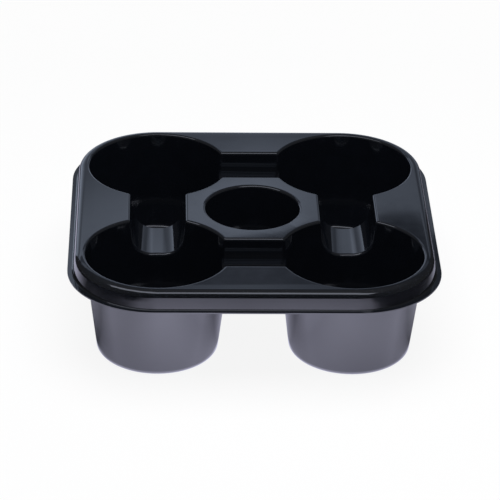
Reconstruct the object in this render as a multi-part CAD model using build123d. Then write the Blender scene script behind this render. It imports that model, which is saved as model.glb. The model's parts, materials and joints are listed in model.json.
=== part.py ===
from build123d import *
import math
import os

# A carrier tray for four cups, formed as one piece from a thin plastic sheet.
# Lengths are in millimetres and angles in degrees. The tray stands on the floors of its wells,
# with the origin under its middle and +Z up. Sizes of the form are those of the sheet's upper face.

# Sheet
sheet_thickness = 0.7
edge_radius = 1.8

# Cup wells, one in each corner
well_pitch = 112.0
well_mouth = 83.4
well_depth = 61.4
well_draft = 6.7
well_floor_radius = 3.0

# Channels that join neighbouring wells
channel_width = 32.6
channel_depth = 22.5
channel_draft = 6.2
channel_flat = 5.2

# Round well in the middle of the tray, inside the land that parts it from the cup wells
centre_land = 9.6
centre_depth = 40.0
centre_draft = 6.2
centre_floor_radius = 3.0

# Rim: a level strip outside the wells' rounded edges, rolled over into a flared skirt with a trimmed lip
rim_flat = 0.2
rim_radius = 4.6
skirt_height = 11.5
skirt_flare = 10.0
lip_width = 2.6
lip_corner_width = 3.2
lip_bend_radius = 0.8

# Overlaps that let one shape cut through another cleanly
cut_margin = 6.0
core_overlap = 0.6

deck_height = well_depth + sheet_thickness
well_offset = well_pitch / 2
centre_mouth = 2 * (well_offset * math.sqrt(2) - well_mouth / 2 - centre_land)


def slope(angle):
    """Sideways run per millimetre of height on a wall that leans by an angle."""
    return math.tan(math.radians(angle))


def corner_setback(radius, lean):
    """How far a rounding reaches along the level deck, before a wall that leans by an angle."""
    return radius * slope((90 - lean) / 2)


rim_land = corner_setback(edge_radius, well_draft) + rim_flat + corner_setback(rim_radius, skirt_flare)
land_half_width = well_offset + well_mouth / 2 + rim_land


def wall_shift(angle, inset):
    """Level distance between a leaning wall and the same wall moved by inset along its normal."""
    return inset / math.cos(math.radians(angle))


def section(half_top, draft, depth, inset, corner_radius):
    """Half section of a hollow below the deck, grown by inset, with its lower corner rounded."""
    reach = half_top + wall_shift(draft, inset)
    upper = reach + cut_margin * slope(draft)
    lower = reach - (depth + inset) * slope(draft)
    top = deck_height + cut_margin
    floor = deck_height - depth - inset
    outline = make_face(Polyline((0, top), (upper, top), (lower, floor), (0, floor), close=True))
    corner = outline.vertices().sort_by(Axis.X)[2:].sort_by(Axis.Y)[0]
    return fillet(corner, corner_radius + inset)


def round_hollow(mouth, draft, depth, inset, floor_radius):
    """A tapered round well on the tray's vertical axis."""
    half = section(mouth / 2, draft, depth, inset, floor_radius)
    return revolve(Plane.XZ * half, Axis.Z)


def channel_corner_radius():
    """Radius that rounds a channel's walls into its flat floor."""
    half_floor = channel_width / 2 - channel_depth * slope(channel_draft)
    return (half_floor - channel_flat / 2) / slope(45 - channel_draft / 2)


def channel_hollow(inset):
    """A trough with rounded bottom corners, from one well's middle to the next, along Y."""
    half = section(channel_width / 2, channel_draft, channel_depth, inset, channel_corner_radius())
    whole = half + mirror(half, about=Plane.YZ)
    return extrude(Plane.XZ * whole, amount=well_offset, both=True)


def hollows(inset):
    """Everything that is sunk into the deck: four wells, four channels and the middle well."""
    well = round_hollow(well_mouth, well_draft, well_depth, inset, well_floor_radius)
    shape = round_hollow(centre_mouth, centre_draft, centre_depth, inset, centre_floor_radius)
    channel = Pos(well_offset, 0, 0) * channel_hollow(inset)
    corner = Pos(well_offset, well_offset, 0) * well
    for quarter in range(4):
        turn = Rot(0, 0, 90 * quarter)
        shape += [turn * corner, turn * channel]
    return shape


def rounded_plate(half_width):
    """Square outline whose corners are concentric with the wells."""
    return RectangleRounded(2 * half_width, 2 * half_width, half_width - well_offset)


def skirt_half_width(drop):
    """Half width over the skirt's outer face, at a drop below the deck."""
    return land_half_width + drop * slope(skirt_flare)


def skirt_block(inset, drop):
    """Solid under the rolled rim and inside the skirt, down to a drop below the deck."""
    half = skirt_half_width(inset) - wall_shift(skirt_flare, inset)
    top = Pos(0, 0, deck_height - inset) * rounded_plate(half)
    block = extrude(top, amount=-(drop - inset), taper=-skirt_flare)
    return fillet(block.faces().sort_by(Axis.Z)[-1].edges(), rim_radius - inset)


def core_block(reach):
    """Solid that the wells are sunk into, below the skirt."""
    half = land_half_width - rim_land / 2 + reach
    plate = Pos(0, 0, -cut_margin - reach) * rounded_plate(half)
    return extrude(plate, amount=deck_height - skirt_height / 2 + cut_margin + reach)


def lip_plate():
    """Outline of the trimmed lip, which is wider at the corners than along the sides."""
    foot = skirt_half_width(skirt_height)
    half = foot + lip_width
    corner_spare = (math.sqrt(2) * lip_width - lip_corner_width) / (math.sqrt(2) - 1)
    return RectangleRounded(2 * half, 2 * half, foot - well_offset + corner_spare)


def rim_block():
    """The skirt down to its foot, with the flat lip that bends outward there."""
    lip = extrude(Pos(0, 0, deck_height - skirt_height) * lip_plate(), amount=sheet_thickness)
    rim = skirt_block(0, skirt_height) + lip
    ledge = rim.faces().filter_by(Axis.Z).sort_by(Axis.Z)[-2]
    return fillet(ledge.inner_wires()[0].edges(), lip_bend_radius)


def raised_edges(form, inset):
    """Edges of the hollows in the deck, and the edges where channels run out into the wells."""
    level = deck_height - inset
    deck_faces = form.faces().filter_by(Axis.Z).filter_by_position(Axis.Z, level - 0.01, level + 0.01)
    outermost = max(deck_faces, key=lambda face: face.bounding_box().size.X)
    rim = outermost.outer_wire().edges()
    deck_edges = form.edges().filter_by_position(Axis.Z, level - 0.01, level + 0.01)
    deck = deck_edges.filter_by(lambda e: e not in rim)
    runouts = form.edges().filter_by(lambda e: e.geom_type not in (GeomType.LINE, GeomType.CIRCLE))
    return deck + runouts


def upper_form():
    """Solid whose skin is the sheet's upper face."""
    form = rim_block() + core_block(0) - hollows(0)
    return fillet(raised_edges(form, 0), edge_radius)


def lower_form():
    """Solid whose skin is the sheet's lower face, one thickness inside the upper one."""
    block = skirt_block(sheet_thickness, skirt_height + cut_margin) + core_block(core_overlap)
    form = block - hollows(sheet_thickness)
    return fillet(raised_edges(form, sheet_thickness), edge_radius - sheet_thickness)


def tray():
    """The formed sheet: what lies between its two faces, with the lip's bend rounded below too."""
    sheet = upper_form() - lower_form()
    lip_level = deck_height - skirt_height
    flat_faces = sheet.faces().filter_by(Axis.Z)
    underside = flat_faces.filter_by_position(Axis.Z, lip_level - 0.01, lip_level + 0.01)
    return fillet(underside[0].inner_wires()[0].edges(), lip_bend_radius + sheet_thickness)


os.makedirs("parts", exist_ok=True)
export_step(tray(), "parts/cup_carrier_tray.step")
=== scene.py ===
# %% [markdown]
# A carrier tray for four cups: one thin sheet of black plastic, softened by heat and drawn over a mould.
# The solid model already has its true shape, so this lesson is about making it look like glossy plastic
# in a small white studio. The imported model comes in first, as a frame that nothing here may move.

# %% Load the frame
import bpy
import json
import math
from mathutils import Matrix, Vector


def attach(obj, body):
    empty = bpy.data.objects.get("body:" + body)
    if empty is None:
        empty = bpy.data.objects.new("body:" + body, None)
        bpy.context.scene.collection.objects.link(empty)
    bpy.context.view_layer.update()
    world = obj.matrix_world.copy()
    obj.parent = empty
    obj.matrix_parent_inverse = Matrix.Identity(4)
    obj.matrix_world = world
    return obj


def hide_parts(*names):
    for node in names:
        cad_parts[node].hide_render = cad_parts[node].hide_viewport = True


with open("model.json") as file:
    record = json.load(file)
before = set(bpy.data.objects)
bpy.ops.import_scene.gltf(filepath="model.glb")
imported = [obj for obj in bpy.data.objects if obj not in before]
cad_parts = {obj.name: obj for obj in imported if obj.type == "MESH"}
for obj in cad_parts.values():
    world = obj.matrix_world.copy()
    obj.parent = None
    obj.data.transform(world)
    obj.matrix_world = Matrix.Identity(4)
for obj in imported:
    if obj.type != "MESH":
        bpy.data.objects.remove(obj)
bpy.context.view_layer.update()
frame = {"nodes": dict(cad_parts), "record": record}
MM = 0.001

# %% [markdown]
# The formed sheet has no corner that is truly sharp, and its gloss would show every flat facet of a mesh.
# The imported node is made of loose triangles, which can only be shaded flat. Smoothing its surface with
# subdivision would move it, so the sheet is a copy whose corners are merged and whose normals run smoothly
# over the round edges. Weighted normals let the large flat deck keep its own direction.

# %% Formed sheet
bpy.ops.object.select_all(action="DESELECT")
tray_node = frame["nodes"]["cup_carrier_tray"]
tray_node.select_set(True)
bpy.context.view_layer.objects.active = tray_node
bpy.ops.object.duplicate()
sheet = bpy.context.active_object
sheet.name = "formed_sheet"
for key in list(sheet.keys()):
    del sheet[key]
sheet.parent = None
bpy.ops.object.mode_set(mode="EDIT")
bpy.ops.mesh.select_all(action="SELECT")
bpy.ops.mesh.customdata_custom_splitnormals_clear()
merge_distance = 0.001 * MM
bpy.ops.mesh.remove_doubles(threshold=merge_distance)
bpy.ops.object.mode_set(mode="OBJECT")
sharpest_round = math.radians(40)
bpy.ops.object.shade_smooth_by_angle(angle=sharpest_round)
bpy.ops.object.modifier_add(type="WEIGHTED_NORMAL")
sheet.modifiers[-1].keep_sharp = True
for modifier in list(sheet.modifiers):
    bpy.ops.object.modifier_apply(modifier=modifier.name)
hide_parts("cup_carrier_tray")
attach(sheet, "root")
print("sheet has", len(sheet.data.vertices), "corners and", len(sheet.data.polygons), "faces")

# %% [markdown]
# Colours are written as they look on a screen, and one function turns them into the linear values that
# Blender calculates with. Another small function adds a node with its settings and its links.

# %% Colour and node helpers
def linear(code):
    """Linear red, green, blue and alpha of an sRGB hex colour."""
    parts = [int(code[i:i + 2], 16) / 255 for i in (1, 3, 5)]
    return [p / 12.92 if p <= 0.04045 else ((p + 0.055) / 1.055) ** 2.4 for p in parts] + [1.0]


def add_node(tree, kind, settings=None, inputs=None):
    """A node of a kind. Inputs are plain values, or sockets or whole nodes to link from."""
    node = tree.nodes.new(kind)
    for name, value in (settings or {}).items():
        setattr(node, name, value)
    for name, value in (inputs or {}).items():
        if isinstance(value, bpy.types.Node):
            value = next(socket for socket in value.outputs if socket.enabled)
        if isinstance(value, bpy.types.NodeSocket):
            tree.links.new(value, node.inputs[name])
        else:
            node.inputs[name].default_value = value
    return node


def new_material(name):
    """An empty node material and its tree."""
    material = bpy.data.materials.new(name)
    material.use_nodes = True
    material.node_tree.nodes.clear()
    return material, material.node_tree


print("mid grey on the screen is", round(linear("#808080")[0], 3), "in linear light")

# %% [markdown]
# The deck sags a little before it rolls over into the skirt, because the sheet is pulled over the edge of
# the mould while it is soft. The sag is too shallow for the outline, but a mirror shows it. It could be
# pressed into the mesh, but the shape is the solid's to give, so it is drawn as a bump. It follows the
# rounded square of the rim: straight along the sides, and round a well's middle at the corners. The
# record says where the tray's feet are, and each foot is right under a well's middle.

# %% Sag along the rim
feet = {mount["name"]: mount["pos_m"] for mount in frame["record"]["mounts"]}
well_offset = feet["foot_back_right"][0]
print("wells stand", round(well_offset / MM, 1), "mm from the middle of the tray")


def rim_sag(tree, place):
    """Height of the deck near its edge, in metres: it falls ever faster over the last few millimetres."""
    sag_start = 37 * MM
    sag_width = 6.4 * MM
    end_slope = 0.05
    flat = add_node(tree, "ShaderNodeVectorMath", {"operation": "MULTIPLY"}, {0: place, 1: (1, 1, 0)})
    quarter = add_node(tree, "ShaderNodeVectorMath", {"operation": "ABSOLUTE"}, {0: flat})
    past = add_node(tree, "ShaderNodeVectorMath", {"operation": "SUBTRACT"},
                    {0: quarter, 1: (well_offset, well_offset, 0)})
    outward = add_node(tree, "ShaderNodeVectorMath", {"operation": "MAXIMUM"}, {0: past, 1: (0, 0, 0)})
    reach = add_node(tree, "ShaderNodeVectorMath", {"operation": "LENGTH"}, {0: outward})
    run = add_node(tree, "ShaderNodeMapRange", {}, {
        "Value": reach.outputs["Value"], "From Min": sag_start, "From Max": sag_start + sag_width})
    fall = add_node(tree, "ShaderNodeMath", {"operation": "POWER"}, {0: run, 1: 2.0})
    depth = -end_slope * sag_width / 2
    print("rim sags by", round(-depth / MM, 2), "mm")
    return add_node(tree, "ShaderNodeMath", {"operation": "MULTIPLY"}, {0: fall, 1: depth})


# %% [markdown]
# High-impact polystyrene, dyed black right through and vacuum formed. The side that faces the mould comes
# out very smooth, so it mirrors the room. Drawing leaves slow waves of a few hundredths of a millimetre,
# and handling leaves faint haze, which shows as patches of slightly rougher gloss. Plain noise, sized in
# millimetres, makes both. A clear coat over the gloss gives the strong mirror of a freshly formed sheet.

# %% Black polystyrene
def formed_black_polystyrene():
    """Glossy black sheet with slow draw waves and a faint haze of handling."""
    material, tree = new_material("black_polystyrene_vacuum_formed")
    place = add_node(tree, "ShaderNodeTexCoord").outputs["Object"]
    wave_size = 38 * MM
    wave_height = 0.04 * MM
    waves = add_node(tree, "ShaderNodeTexNoise", {}, {
        "Vector": place, "Scale": 1 / wave_size, "Detail": 1.0})
    height = add_node(tree, "ShaderNodeMath", {"operation": "MULTIPLY_ADD"},
                      {0: waves.outputs["Fac"], 1: wave_height, 2: rim_sag(tree, place)})
    bump = add_node(tree, "ShaderNodeBump", {}, {"Height": height, "Strength": 1.0, "Distance": 1.0})
    haze_size = 9 * MM
    clean_roughness = 0.05
    hazy_roughness = 0.11
    haze = add_node(tree, "ShaderNodeTexNoise", {}, {
        "Vector": place, "Scale": 1 / haze_size, "Detail": 5.0})
    rough = add_node(tree, "ShaderNodeMapRange", {}, {
        "Value": haze.outputs["Fac"], "From Min": 0.35, "From Max": 0.75,
        "To Min": clean_roughness, "To Max": hazy_roughness})
    tint = add_node(tree, "ShaderNodeMix", {"data_type": "RGBA"}, {
        "Factor": haze.outputs["Fac"], "A": linear("#0E1116"), "B": linear("#14171E")})
    shader = add_node(tree, "ShaderNodeBsdfPrincipled", {}, {
        "Base Color": tint, "Roughness": rough, "Normal": bump, "IOR": 1.59,
        "Specular IOR Level": 1.0, "Coat Weight": 1.0, "Coat Roughness": 0.03})
    add_node(tree, "ShaderNodeOutputMaterial", {}, {"Surface": shader})
    return material


sheet.data.materials.clear()
sheet.data.materials.append(formed_black_polystyrene())
print("sheet is", sheet.data.materials[0].name)

# %% [markdown]
# A black mirror shows what stands around it, so the studio is most of the finish. A picture of a studio
# could be wrapped round the scene, but a few cards and pools of light are easier to move and to
# understand. Two helpers draw such light: levels that follow a coordinate from stop to stop, and round
# pools. Their places on the stage are in metres, with each level beside its place.

# %% Patterns of light
def graded(tree, value, levels):
    """A level that follows a value from stop to stop."""
    first, last = levels[0][0], levels[-1][0]
    share = add_node(tree, "ShaderNodeMapRange", {}, {"Value": value, "From Min": first, "From Max": last})
    ramp = add_node(tree, "ShaderNodeValToRGB", {}, {"Fac": share})
    stops = ramp.color_ramp.elements
    while len(stops) < len(levels):
        stops.new(0.5)
    for stop, (at, level) in zip(stops, levels):
        stop.position = (at - first) / (last - first)
        stop.color = (level, level, level, 1)
    return ramp.outputs["Color"]


def pool(tree, place, middle, reach):
    """A round patch on the table: 1 in its middle, 0 at its reach."""
    scaled = add_node(tree, "ShaderNodeMapping", {}, {
        "Vector": place, "Scale": (1 / reach[0], 1 / reach[1], 1),
        "Location": (-middle[0] / reach[0], -middle[1] / reach[1], 0)})
    gradient = add_node(tree, "ShaderNodeTexGradient", {"gradient_type": "SPHERICAL"}, {"Vector": scaled})
    return gradient.outputs["Fac"]


# %% [markdown]
# The tray stands on a wide sheet of white paper, and its cups mirror painted light on it: pools that glow
# in reflections alone. They are brightest just in front of the cups, as if under a lamp with a narrow beam,
# though no lamp casts them, and they fade to the front and the sides. Each cup has its own painted bright
# spot, and its foot mirrors a painted ring of light right beside it. More painted pools light the paper
# under the middle of the tray, where it would lie in shade, and behind its left side, for the highlight on
# the left rim.

# %% Painted light on the paper
def painted_foot_ring(tree, place):
    """Painted ring of light round each cup's foot, mirrored as a highlight on its bottom edge."""
    quarter = add_node(tree, "ShaderNodeVectorMath", {"operation": "ABSOLUTE"}, {0: place})
    away = add_node(tree, "ShaderNodeVectorMath", {"operation": "DISTANCE"},
                    {0: quarter, 1: (well_offset, well_offset, 0)})
    return graded(tree, away.outputs["Value"], ((0.0335, 0.0), (0.035, 0.5), (0.037, 0.5), (0.0385, 0.0)))


def painted_paper_reflection(tree, place, axes):
    """The paper as the tray mirrors it: matt paper painted darker to the sides, with painted pools of light.
    """
    # Painted shade: for mirrors the lit paper is darkened towards the sides, beyond its front edge and
    # behind the tray.
    across = graded(tree, axes["X"], ((-0.31, 0.03), (-0.26, 0.08), (-0.19, 0.43), (0.19, 0.46),
                                      (0.24, 0.08), (0.29, 0.03)))
    along = graded(tree, axes["Y"], ((-0.635, 0.0), (-0.63, 1.0), (0.04, 1.0), (0.12, 0.5), (0.75, 0.5)))
    level = add_node(tree, "ShaderNodeMath", {"operation": "MULTIPLY"}, {0: across, 1: along})
    painted_shade_tone = add_node(tree, "ShaderNodeMix", {"data_type": "RGBA"}, {
        "Factor": level, "A": linear("#000000"), "B": linear("#E8E8FF")})
    painted_shade_strip = add_node(tree, "ShaderNodeBsdfDiffuse", {}, {"Color": painted_shade_tone})

    # Painted pool of light in front of the cups, cut off at their feet, with a painted bright spot before
    # each cup.
    before_cups = graded(tree, axes["Y"], ((-0.085, 1.2), (-0.055, 0.0)))
    cup_spot_painted_levels = graded(tree, axes["X"], ((-0.16, 0.8), (-0.105, 0.75), (-0.056, 1.0), (-0.03, 0.95),
                                           (0.004, 0.72), (0.035, 0.95), (0.056, 1.0), (0.16, 1.0)))
    painted_front_pool = add_node(tree, "ShaderNodeMath", {"operation": "MULTIPLY"},
                         {0: pool(tree, place, (-0.02, -0.18), (0.30, 0.42)), 1: before_cups})
    painted_cup_spots = add_node(tree, "ShaderNodeMath", {"operation": "MULTIPLY"}, {0: painted_front_pool, 1: cup_spot_painted_levels})
    front = add_node(tree, "ShaderNodeMath", {"operation": "ADD"}, {0: painted_cup_spots, 1: painted_foot_ring(tree, place)})
    # Painted light on the paper under the middle of the tray, where it would lie in shade.
    under_tray_painted_level = 0.5
    between = add_node(tree, "ShaderNodeMath", {"operation": "MULTIPLY_ADD"},
                       {0: pool(tree, place, (0.0, -0.02), (0.08, 0.12)), 1: under_tray_painted_level, 2: front})
    # Painted pool of light behind the tray's left side, which draws the highlight along the left rim.
    rim_highlight_painted_level = 0.9
    strength = add_node(tree, "ShaderNodeMath", {"operation": "MULTIPLY_ADD"},
                        {0: pool(tree, place, (-0.22, 0.15), (0.12, 0.20)), 1: rim_highlight_painted_level, 2: between})
    glow = add_node(tree, "ShaderNodeEmission", {}, {"Color": linear("#E4E4FF"), "Strength": strength})
    return add_node(tree, "ShaderNodeAddShader", {}, {0: painted_shade_strip, 1: glow})


# %% [markdown]
# To the eye the paper is plain white. Paper that is only lit would come out grey round the tray, so most of
# what the eye sees is an even white of strength 1, and the rest is the lit paper, which carries the tray's
# pale shadow. Farther out the white takes over, so that the paper has no edge.

# %% Paper on the table
def white_paper():
    """Matt white paper: white with a pale shadow to the eye, painted light and shade to the tray."""
    material, tree = new_material("white_paper_painted_pools")
    path = add_node(tree, "ShaderNodeLightPath").outputs
    place = add_node(tree, "ShaderNodeTexCoord").outputs["Object"]
    axes = add_node(tree, "ShaderNodeSeparateXYZ", {}, {"Vector": place}).outputs
    matt = add_node(tree, "ShaderNodeBsdfDiffuse", {}, {"Color": linear("#FFFFFF")})
    white = add_node(tree, "ShaderNodeEmission", {}, {"Strength": 1.0})
    shadow_reach = 0.7
    near_tray = pool(tree, place, (0, 0), (shadow_reach, shadow_reach))
    plain = graded(tree, near_tray, ((0.0, 1.0), (0.5, 0.9)))
    seen = add_node(tree, "ShaderNodeMath", {"operation": "MAXIMUM"},
                    {0: path["Is Camera Ray"], 1: path["Is Transmission Ray"]})
    share = add_node(tree, "ShaderNodeMath", {"operation": "MULTIPLY"}, {0: seen, 1: plain})
    shown = add_node(tree, "ShaderNodeMixShader", {}, {0: share, 1: matt, 2: white})
    surface = add_node(tree, "ShaderNodeMixShader", {}, {
        0: path["Is Glossy Ray"], 1: shown, 2: painted_paper_reflection(tree, place, axes)})
    add_node(tree, "ShaderNodeOutputMaterial", {}, {"Surface": surface})
    return material


def stand(name, low, high, material):
    """A flat stage piece between two corners: it lies down, or stands across the view."""
    bpy.ops.object.select_all(action="DESELECT")
    bpy.ops.mesh.primitive_plane_add(size=1.0)
    piece = bpy.context.active_object
    piece.name = name
    size = [high[i] - low[i] for i in range(3)]
    if size[2] == 0:
        piece.scale = (size[0], size[1], 1)
    else:
        piece.rotation_euler = (math.radians(90), 0, 0)
        piece.scale = (size[0], size[2], 1)
    piece.location = [(high[i] + low[i]) / 2 for i in range(3)]
    bpy.ops.object.transform_apply(location=True, rotation=True, scale=True)
    piece.data.materials.append(material)
    print(name, "is", [round(side, 3) for side in size], "m")
    return piece


paper_low = Vector((-1.3, -1.3, 0))
paper_high = Vector((1.3, 1.0, 0))
stand("paper", paper_low, paper_high, white_paper())

# %% [markdown]
# Round the paper the floor and the room are plain white to the eye, in mirrors and through glass. They could
# be lit until they are white, but that light would also fall on the tray. So for the rays that only carry
# light they are nearly black.

# %% Floor and room
def seen_white(tree, unseen):
    """White to the eye, to mirrors and through glass, and another level for the rest of the light."""
    path = add_node(tree, "ShaderNodeLightPath").outputs
    bent = add_node(tree, "ShaderNodeMath", {"operation": "MAXIMUM"},
                    {0: path["Is Glossy Ray"], 1: path["Is Transmission Ray"]})
    seen = add_node(tree, "ShaderNodeMath", {"operation": "MAXIMUM"}, {0: bent, 1: path["Is Camera Ray"]})
    return add_node(tree, "ShaderNodeMix", {"data_type": "FLOAT"}, {"Factor": seen, "A": unseen, "B": 1.0})


floor_paint, floor_tree = new_material("white_floor_paint")
floor_glow = add_node(floor_tree, "ShaderNodeEmission", {}, {"Strength": seen_white(floor_tree, 0.0)})
add_node(floor_tree, "ShaderNodeOutputMaterial", {}, {"Surface": floor_glow})
floor_reach = 3
floor_drop = -0.5 * MM
stand("floor", (-floor_reach, -floor_reach, floor_drop), (floor_reach, floor_reach, floor_drop), floor_paint)

room = bpy.data.worlds.new("white_room")
bpy.context.scene.world = room
room.use_nodes = True
room.node_tree.nodes.clear()
room_light = add_node(room.node_tree, "ShaderNodeBackground", {}, {
    "Color": linear("#FFFFFF"), "Strength": seen_white(room.node_tree, 0.03)})
add_node(room.node_tree, "ShaderNodeOutputWorld", {}, {"Surface": room_light})

# %% [markdown]
# Glossy black things are photographed inside a tent of black felt, because white walls would wash the black
# out. The tent stands at the edges of the paper and shows in reflections alone. Stray light makes it a
# little paler overhead and at the sides, which keeps the corners of the rim from going quite black.

# %% Black tent
def mirror_only(piece):
    """Keeps a card out of the picture and out of the light: it shows in reflections alone."""
    piece.visible_camera = False
    piece.visible_diffuse = False
    piece.visible_shadow = False


def black_felt():
    """Matt black felt with a little stray light on it, by the direction from the tray."""
    material, tree = new_material("black_felt")
    place = add_node(tree, "ShaderNodeTexCoord").outputs["Object"]
    toward = add_node(tree, "ShaderNodeVectorMath", {"operation": "NORMALIZE"}, {0: place})
    axes = add_node(tree, "ShaderNodeSeparateXYZ", {}, {"Vector": toward}).outputs
    upward = graded(tree, axes["Z"], ((0.0, 0.012), (0.6, 0.02), (1.0, 0.07)))
    sideways = add_node(tree, "ShaderNodeMath", {"operation": "MULTIPLY"}, {0: axes["X"], 1: axes["X"]})
    side_level = 0.03
    stray = add_node(tree, "ShaderNodeMath", {"operation": "MULTIPLY_ADD"},
                     {0: sideways, 1: side_level, 2: upward})
    glow = add_node(tree, "ShaderNodeEmission", {}, {"Strength": stray})
    add_node(tree, "ShaderNodeOutputMaterial", {}, {"Surface": glow})
    return material


tent_height = 1.7
tent_drop = 1 * MM
tent_size = paper_high - paper_low + Vector((0, 0, tent_height))
tent_middle = (paper_low + paper_high) / 2 + Vector((0, 0, tent_height / 2 - tent_drop))
bpy.ops.object.select_all(action="DESELECT")
bpy.ops.mesh.primitive_cube_add(size=1.0, location=tent_middle)
tent = bpy.context.active_object
tent.name = "tent"
tent.scale = tent_size
bpy.ops.object.transform_apply(location=True, rotation=True, scale=True)
tent.data.materials.append(black_felt())
mirror_only(tent)
print("tent is", [round(side, 1) for side in tent_size], "m")

# %% [markdown]
# Behind the tray, inside the tent, hangs a tall card that the deck mirrors. No lamp lights it: it glows, and
# its bands are painted light, which paint the reflections on the deck. Its foot glows brightest and draws
# thin light lines along the edges that turn away. Higher up is a dimmer field that ends at a slanting edge:
# on the deck that edge lies in front of the middle well. Above it are a dark gap and one more bright band,
# which the sagging rim mirrors. Several cards could do this, but one with levels is quicker to adjust.

# %% Card of painted light
def painted_light_card():
    """Painted light: a bright foot, a dim field up to a slanting edge, a dark gap and a bright band."""
    material, tree = new_material("painted_light_card")
    place = add_node(tree, "ShaderNodeTexCoord").outputs["Object"]
    axes = add_node(tree, "ShaderNodeSeparateXYZ", {}, {"Vector": place}).outputs
    # Painted light: the glow is set in bands by height, with the bands tilted a little across the card.
    edge_rise = add_node(tree, "ShaderNodeMapRange", {}, {
        "Value": axes["X"], "From Min": -0.15, "From Max": 0.15, "To Min": -0.03, "To Max": 0.03})
    level = add_node(tree, "ShaderNodeMath", {"operation": "ADD"}, {0: axes["Z"], 1: edge_rise})
    upward = graded(tree, level, ((0.0, 0.65), (0.18, 0.55), (0.33, 0.24), (0.385, 0.21), (0.413, 0.35),
                                  (0.43, 0.43), (0.45, 0.48), (0.485, 0.48), (0.49, 0.10), (0.55, 0.10),
                                  (0.58, 0.30), (0.70, 0.30), (0.76, 0.05), (0.90, 0.05)))
    across = graded(tree, axes["X"], ((-0.60, 0.9), (-0.30, 0.9), (-0.12, 0.74), (-0.03, 0.93), (0.03, 1.04),
                                      (0.08, 0.76), (0.12, 0.60), (0.30, 0.45), (0.50, 0.35)))
    strength = add_node(tree, "ShaderNodeMath", {"operation": "MULTIPLY"}, {0: upward, 1: across})
    glow = add_node(tree, "ShaderNodeEmission", {}, {"Color": linear("#D8E6FF"), "Strength": strength})
    add_node(tree, "ShaderNodeOutputMaterial", {}, {"Surface": glow})
    return material


card_back = 0.75
card_height = 0.9
mirror_only(stand("card_of_painted_light", (-0.6, card_back, 0), (0.5, card_back, card_height), painted_light_card()))

# %% [markdown]
# A wide window of light stands high in front, a little to the left. It draws the thin bright line along
# every edge that turns towards it. A broad lamp overhead lights the paper, at a level where white paper
# comes out just white. In a mirror it would fill the deck, so it is kept out of reflections.

# %% Lamps
def softbox(name, place, aim, width, height, radiance):
    """A rectangular lamp, given by the brightness of its face."""
    bpy.ops.object.light_add(type="AREA", location=place)
    lamp = bpy.context.active_object
    lamp.name = name
    lamp.data.shape = "RECTANGLE"
    lamp.data.size = width
    lamp.data.size_y = height
    lamp.data.energy = radiance * math.pi * width * height
    lamp.rotation_euler = (Vector(aim) - Vector(place)).to_track_quat("-Z", "Y").to_euler()
    lamp.visible_camera = False
    print(name, "gives", round(lamp.data.energy, 2), "W")
    return lamp


window = softbox("front_window", place=(-0.21, -0.46, 1.15), aim=(0, 0, 0.06),
                 width=1.68, height=0.42, radiance=0.95)
window.data.color = linear("#E8EEFF")[:3]
overhead = softbox("overhead", place=(0.08, -0.05, 1.0), aim=(0.08, -0.05, 0),
                   width=1.0, height=1.0, radiance=3.6)
overhead.visible_glossy = False

# %% [markdown]
# The camera stands where the photograph was taken from: well back, with a long lens, a little to the left
# and about 28 degrees above the deck. Its place was worked out from the tray's own edges in the picture.

# %% Camera
camera_place = Vector((-54.7, -1541.7, 864.9)) * MM
camera_aim = Vector((-2.8, -53.5, 62.1)) * MM
camera_roll = math.radians(1.17)
photo_width_px = 500
focal_px = 2934.9
camera = bpy.data.objects.new("camera", bpy.data.cameras.new("camera"))
bpy.context.scene.collection.objects.link(camera)
camera.data.sensor_width = 36
camera.data.lens = camera.data.sensor_width * focal_px / photo_width_px
camera.location = camera_place
camera.rotation_euler = (camera_aim - camera_place).to_track_quat("-Z", "Y").to_euler()
camera.rotation_euler.rotate_axis("Z", camera_roll)
bpy.context.scene.camera = camera
bpy.context.scene.view_settings.view_transform = "Standard"
print("camera lens", round(camera.data.lens, 1), "mm")
